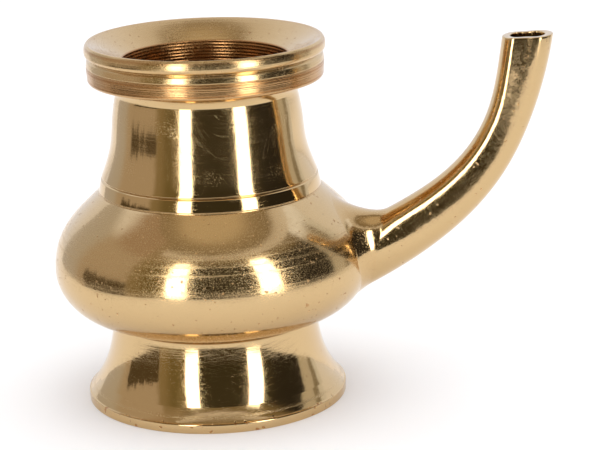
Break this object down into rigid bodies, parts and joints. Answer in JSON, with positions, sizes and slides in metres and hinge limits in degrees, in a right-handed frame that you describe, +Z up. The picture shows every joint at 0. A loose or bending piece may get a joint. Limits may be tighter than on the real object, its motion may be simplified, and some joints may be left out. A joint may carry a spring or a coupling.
{
  "type": "pouring jug",
  "caption": "Squat cast brass pouring jug with a dished mouth, long neck, flared foot and a curved tapering spout, for pouring water in ritual or at table.",
  "frame": {"origin": "middle of the part's bounding rectangle on the surface it stands on; the jug's own axis is 23.8 mm from it towards -X", "axes": "+Z up along the jug's axis, +X the way the spout runs, +Y across"},
  "size_m": [0.1304, 0.0828, 0.0961],
  "materials": {
    "polished_brass": "polished cast brass with fine hairline scratches",
    "turned_brass": "lathe-turned and polished brass",
    "braze_filler": "satin brazing filler"
  },
  "bodies": {
    "root": {"foot": "polished_brass", "foot_braze": "braze_filler", "belly": "polished_brass", "neck_braze": "braze_filler", "neck": "turned_brass", "spout": "polished_brass", "spout_braze": "braze_filler"}
  },
  "joints": []
}
